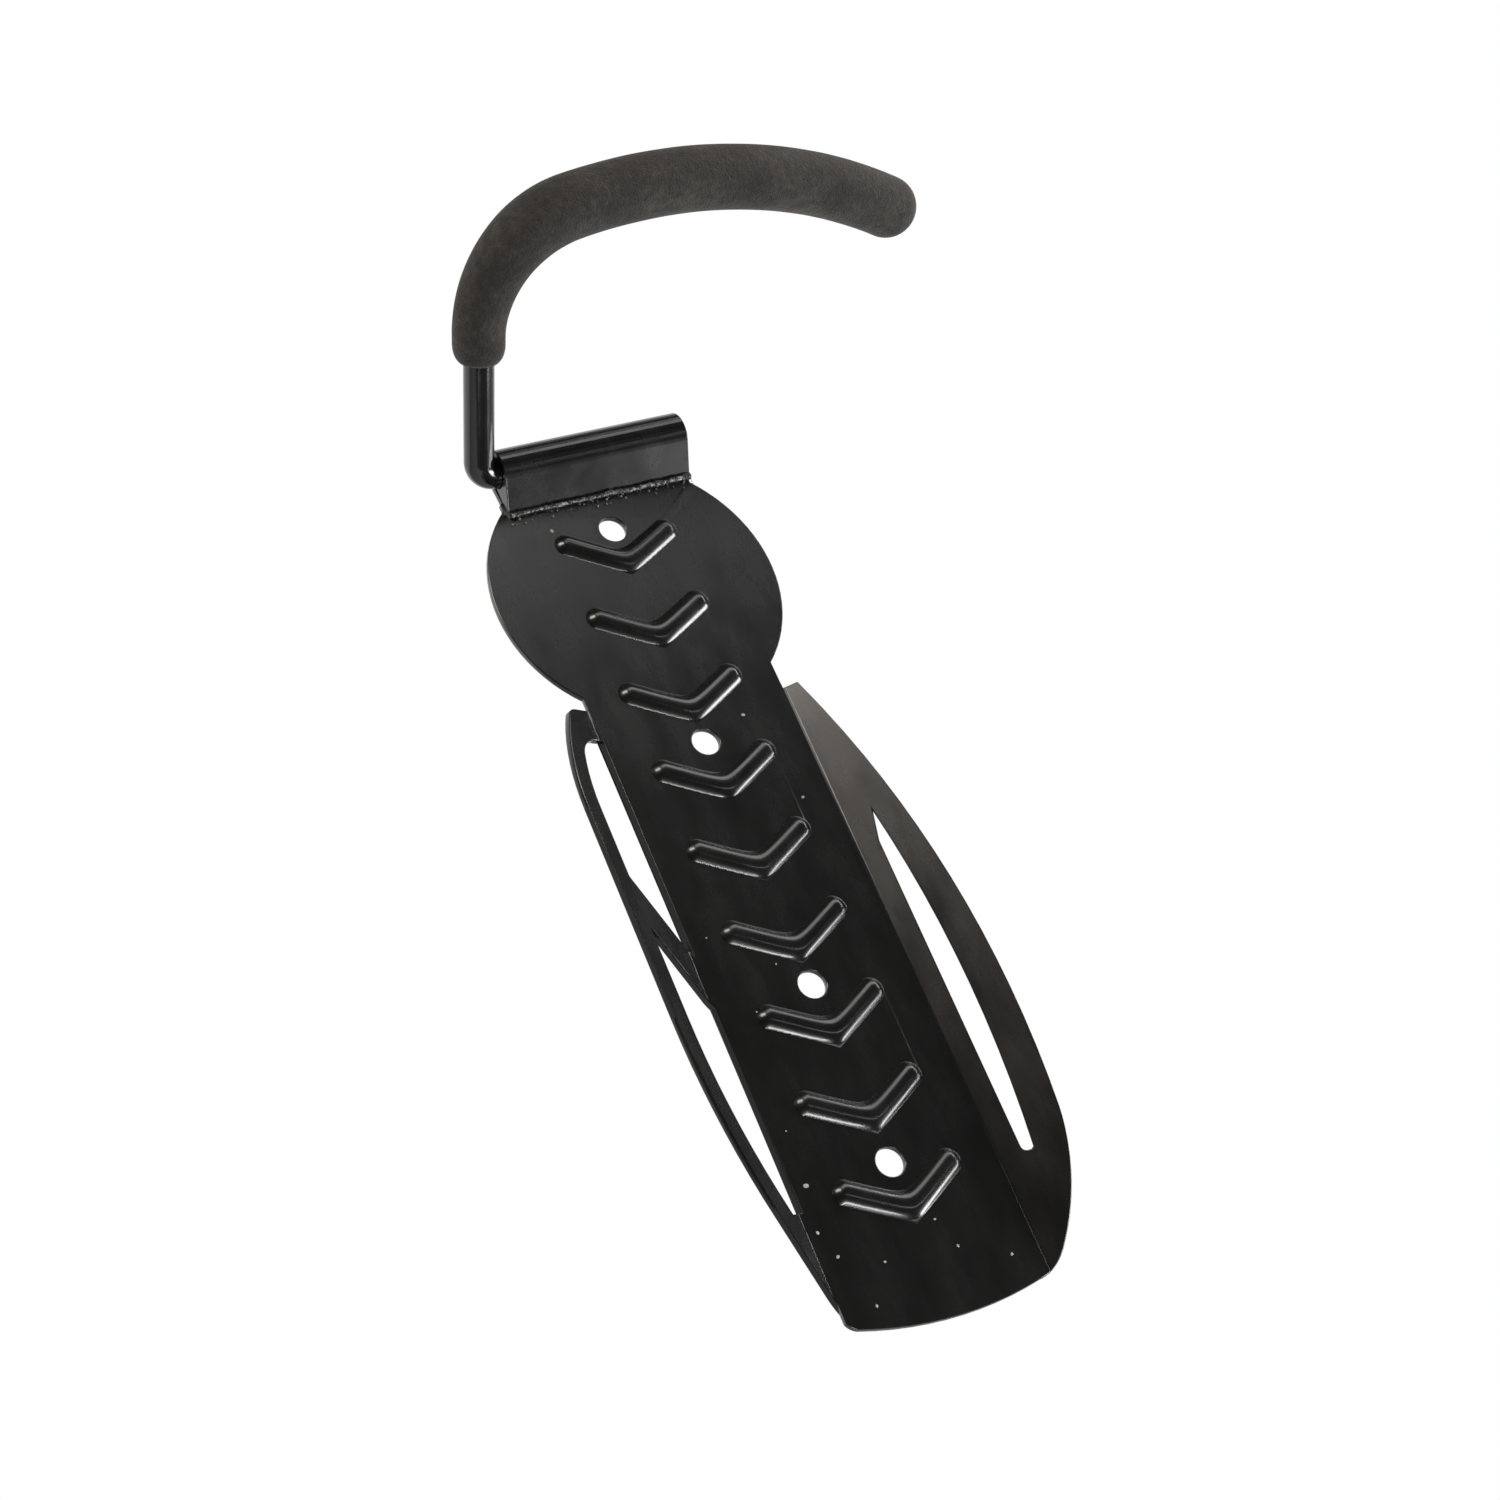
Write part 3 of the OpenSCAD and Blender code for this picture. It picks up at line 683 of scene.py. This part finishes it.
class WHEELHOOK_OT_foam(bpy.types.Operator):
    """Make the foam sleeve on the arm"""

    bl_idname = "wheel_hook.foam"
    bl_label = "Foam Sleeve"

    def execute(self, context):
        s = context.scene.wheel_hook_foam
        full, low = s.full_radius, s.end_radius
        start, end = FOAM_START * MM, ARM_END * MM
        bore = FOAM_BORE_R * MM
        outline = [(0.0, end - 0.003)]
        outline += [(bore, end - 0.003), (bore, end - 0.006), (bore, start + 0.004)]
        lip = 0.0014
        outline += [(bore + lip * (1 - math.cos(a)), start + lip * (1 - math.sin(a))) for a in np.linspace(0.0, 1.57, 7)]
        belly = 0.0052
        edge = low - belly * 0.45
        outline += [
            (edge + (low - edge) * math.sin(a), start + belly * (1 - math.cos(a))) for a in np.linspace(0.25, 1.57, 9)
        ]
        for t in np.linspace(0.0, 1.0, 26)[1:]:
            ease = t * t * (3 - 2 * t)
            outline.append((low + (full - low) * ease, start + belly + 0.046 * t))
        outline += [(full, z) for z in np.linspace(start + belly + 0.046, end, 40)[1:]]
        outline += [(full * math.cos(a), end + full * math.sin(a)) for a in np.linspace(0.0, math.pi / 2, 14)[1:]]
        outline[-1] = (0.0, end + full)
        arm = line_object("arm_line", [hook_point(*arm_point(v)) for v in np.arange(0.0, ARM_END, 0.5)]
                          + [hook_point(*arm_end_point(v)) for v in (0.0, 6.0, 12.0)])
        shape = line_object("foam_outline", [(x, 0.0, z) for x, z in outline])
        origin, across, up = hook_point(0, 0), hook_point(1, 0), hook_point(0, 1)
        side = (across - origin).cross(up - origin).normalized()
        skin = foam_grey("Charcoal Foam Skin", tuple(s.colour), tuple(s.dusty))
        values = {"Arm": arm, "Rings": 420, "Sides": s.sides, "Side Axis": tuple(side), "Unevenness": s.unevenness}
        piece = grow(shape, foam_rule(), values, "foam_skin", skin)
        bpy.data.objects.remove(arm)
        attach(piece, "root")
        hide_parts("foam_sleeve")
        return {"FINISHED"}


def arm_end_point(v):
    """The arm's line run on straight by v mm past its end."""
    a, b = arm_point(ARM_END - 0.01), arm_point(ARM_END)
    d = math.hypot(b[0] - a[0], b[1] - a[1])
    return b[0] + (b[0] - a[0]) / d * v, b[1] + (b[1] - a[1]) / d * v


class WHEELHOOK_OT_weld(bpy.types.Operator):
    """Lay the weld along the rolled sleeve's edge"""

    bl_idname = "wheel_hook.weld"
    bl_label = "Weld"

    def execute(self, context):
        s = context.scene.wheel_hook_marks
        line = [tilted((x, -SHEET_T - 0.95, SEAM_Z - 0.55)) for x in np.linspace(-HALF_W + 0.5, HALF_W - 0.5, 60)]
        path = line_object("weld_line", line)
        # the pale second colour is a painted highlight on the weld's crests
        skin = weld_skin("Weld Paint With Painted Glint", (0.02, 0.02, 0.02), (0.42, 0.41, 0.4))
        values = {"Bead": s.bead, "Raggedness": s.ragged, "Spatter": s.spatter, "Spread": 0.0014, "Seed": 4}
        piece = grow(path, weld_rule(), values, "weld_bead", skin)
        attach(piece, "root")
        return {"FINISHED"}


# Dust on the front of the sheet: x and z in mm, and size
SPECKS = (
    (14.6, -48.1, 0.9),
    (21.5, -77.5, 0.8),
    (-18.9, 23.2, 0.9),
    (-25.9, -185.6, 1.2),
    (-28.1, -198.3, 0.8),
    (-25.4, -205.8, 0.8),
    (-20.6, -220.9, 0.7),
    (-13.4, -210.8, 0.6),
    (8.3, -212.8, 0.7),
    (5.2, -204.2, 0.6),
    (22.2, -219.3, 0.7),
    (-19.1, -136.2, 0.5),
    (-7.9, -124.3, 0.5),
    (-25.0, -170.0, 0.4),
    (-24.4, -112.0, 0.4),
)


class WHEELHOOK_OT_specks(bpy.types.Operator):
    """Set the dust specks on the sheet"""

    bl_idname = "wheel_hook.specks"
    bl_label = "Dust Specks"

    def execute(self, context):
        s = context.scene.wheel_hook_marks
        mesh = bpy.data.meshes.new("speck_points")
        mesh.from_pydata([(x * MM, -SHEET_T * MM, z * MM) for x, z, _ in SPECKS], [], [])
        sizes = mesh.attributes.new("speck_size", "FLOAT", "POINT")
        sizes.data.foreach_set("value", [v for _, _, v in SPECKS])
        points = bpy.data.objects.new("speck_points", mesh)
        context.scene.collection.objects.link(points)
        piece = grow(points, speck_rule(), {"Speck": s.speck, "Seed": 7}, "dust_specks", dust_grey("Pale Dust", (0.5, 0.49, 0.47)))
        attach(piece, "root")
        return {"FINISHED"}


def lamp(name, place, aim, size, power, colour=(1.0, 1.0, 1.0)):
    """A soft rectangular lamp that faces a point."""
    light = bpy.data.lights.new(name, "AREA")
    light.shape = "RECTANGLE"
    light.size, light.size_y = size
    light.energy = power
    light.color = colour
    thing = bpy.data.objects.new(name, light)
    bpy.context.scene.collection.objects.link(thing)
    thing.location = place
    thing.rotation_mode = "QUATERNION"
    thing.rotation_quaternion = (Vector(aim) - Vector(place)).to_track_quat("-Z", "Y")
    return thing


class WHEELHOOK_OT_stage(bpy.types.Operator):
    """Set the floor, the backdrop, the lamps and the camera"""

    bl_idname = "wheel_hook.stage"
    bl_label = "Studio"

    def execute(self, context):
        s = context.scene.wheel_hook_studio
        scene = context.scene
        z = CAD_BOX[0].z - s.floor_drop
        mesh = bpy.data.meshes.new("floor")
        mesh.from_pydata([(-8, -8, z), (8, -8, z), (8, 8, z), (-8, 8, z)], [], [(0, 1, 2, 3)])
        floor = bpy.data.objects.new("floor", mesh)
        scene.collection.objects.link(floor)
        paper = Shader("Pale Floor")
        tone = paper.noise(3.0, 2.0, 0.5)
        paper.join(paper.tint(tone, (0.3, (0.8, 0.8, 0.8)), (0.7, (0.84, 0.84, 0.84))), paper.skin.inputs["Base Color"])
        paper.skin.inputs["Roughness"].default_value = 0.9
        shade = paper.add("ShaderNodeBsdfDiffuse")
        spot = paper.add("ShaderNodeSeparateXYZ")
        paper.join(paper.place, spot.inputs[0])
        # painted shade: for every ray but the camera's, the floor is coloured dark in front of the wall and pale behind
        # it
        painted_shade_fade = paper.span(spot.outputs[1], -0.02, 0.06, 0.0, 1.0)
        paper.join(paper.tint(painted_shade_fade, (0.0, (0.1, 0.1, 0.1)), (1.0, (0.82, 0.82, 0.82))), shade.inputs["Color"])
        seen_floor = paper.add("ShaderNodeMixShader")
        paper.join(paper.add("ShaderNodeLightPath").outputs["Is Camera Ray"], seen_floor.inputs[0])
        paper.join(shade.outputs[0], seen_floor.inputs[1])
        paper.join(paper.skin.outputs[0], seen_floor.inputs[2])
        surface = next(n for n in paper.nt.nodes if n.type == "OUTPUT_MATERIAL")
        paper.join(seen_floor.outputs[0], surface.inputs["Surface"])
        mesh.materials.append(paper.mat)
        world = bpy.data.worlds.new("Studio")
        scene.world = world
        world.use_nodes = True
        nt = world.node_tree
        nt.nodes.clear()
        out = nt.nodes.new("ShaderNodeOutputWorld")
        mix = nt.nodes.new("ShaderNodeMixShader")
        seen = nt.nodes.new("ShaderNodeBackground")
        soft = nt.nodes.new("ShaderNodeBackground")
        path = nt.nodes.new("ShaderNodeLightPath")
        way = nt.nodes.new("ShaderNodeTexCoord")
        parts = nt.nodes.new("ShaderNodeSeparateXYZ")
        depth = nt.nodes.new("ShaderNodeMapRange")
        seen.inputs["Color"].default_value = (*s.backdrop, 1.0)
        seen.inputs["Strength"].default_value = 1.0
        soft.inputs["Color"].default_value = (1.0, 1.0, 1.0, 1.0)
        depth.inputs["From Min"].default_value = 0.0
        depth.inputs["From Max"].default_value = 0.2
        depth.inputs["To Min"].default_value = s.fill
        depth.inputs["To Max"].default_value = 1.0
        nt.links.new(way.outputs["Generated"], parts.inputs[0])
        nt.links.new(parts.outputs["Y"], depth.inputs["Value"])
        nt.links.new(depth.outputs["Result"], soft.inputs["Strength"])
        nt.links.new(path.outputs["Is Camera Ray"], mix.inputs[0])
        nt.links.new(soft.outputs[0], mix.inputs[1])
        nt.links.new(seen.outputs[0], mix.inputs[2])
        nt.links.new(mix.outputs[0], out.inputs["Surface"])
        middle = (0.0, -0.01, -0.06)
        lamp("key_softbox", (-0.7, -1.15, 0.85), middle, (0.9, 0.5), 16.0, (1.0, 0.93, 0.84))
        lamp("top_softbox", (0.62, -1.03, 1.02), middle, (1.4, 0.6), 7.0)
        lamp("right_strip", (0.875, -0.19, -0.515), middle, (0.24, 0.7), 9.0)
        lamp("low_left_strip", (-0.24, -0.33, -0.81), middle, (0.5, 0.07), 2.8)
        lamp("front_strip", (0.63, -1.3, -0.42), middle, (0.9, 0.05), 0.9)
        lamp("rim_strip", (1.02, -0.5, 0.32), middle, (0.05, 0.8), 2.4)
        camera = bpy.data.cameras.new("camera")
        camera.sensor_width = 36.0
        camera.lens = 60.41
        camera.clip_start = 0.05
        view = bpy.data.objects.new("camera", camera)
        scene.collection.objects.link(view)
        rows = ((0.871, -0.3146, -0.3772), (-0.1851, 0.5011, -0.8453), (0.455, 0.8062, 0.3783))
        turn = Matrix((rows[0], [-v for v in rows[1]], [-v for v in rows[2]])).transposed()
        view.matrix_world = Matrix.Translation((-0.316, -0.5831, -0.3322)) @ turn.to_4x4()
        scene.camera = view
        scene.view_settings.view_transform = "Standard"
        return {"FINISHED"}


STEPS = (
    WHEELHOOK_OT_stage,
    WHEELHOOK_OT_tray,
    WHEELHOOK_OT_rod,
    WHEELHOOK_OT_foam,
    WHEELHOOK_OT_weld,
    WHEELHOOK_OT_specks,
)
SETTINGS = (
    ("wheel_hook_paint", WheelHookPaint),
    ("wheel_hook_foam", WheelHookFoam),
    ("wheel_hook_marks", WheelHookMarks),
    ("wheel_hook_studio", WheelHookStudio),
)


class WHEELHOOK_PT_panel(bpy.types.Panel):
    """Sizes, colours and steps of the wheel hook"""

    bl_label = "Wheel Hook"
    bl_idname = "WHEELHOOK_PT_panel"
    bl_space_type = "VIEW_3D"
    bl_region_type = "UI"
    bl_category = "Wheel Hook"

    def draw(self, context):
        for key, group in SETTINGS:
            box = self.layout.box()
            for name in group.__annotations__:
                box.prop(getattr(context.scene, key), name)
        for step in STEPS:
            self.layout.operator(step.bl_idname)


def register():
    for key, group in SETTINGS:
        bpy.utils.register_class(group)
        setattr(bpy.types.Scene, key, PointerProperty(type=group))
    for step in STEPS:
        bpy.utils.register_class(step)
    bpy.utils.register_class(WHEELHOOK_PT_panel)


def unregister():
    bpy.utils.unregister_class(WHEELHOOK_PT_panel)
    for step in reversed(STEPS):
        bpy.utils.unregister_class(step)
    for key, group in reversed(SETTINGS):
        delattr(bpy.types.Scene, key)
        bpy.utils.unregister_class(group)


def main():
    register()
    bpy.ops.wheel_hook.stage()
    bpy.ops.wheel_hook.tray()
    bpy.ops.wheel_hook.rod()
    bpy.ops.wheel_hook.foam()
    bpy.ops.wheel_hook.weld()
    bpy.ops.wheel_hook.specks()


if __name__ == "__main__":
    main()
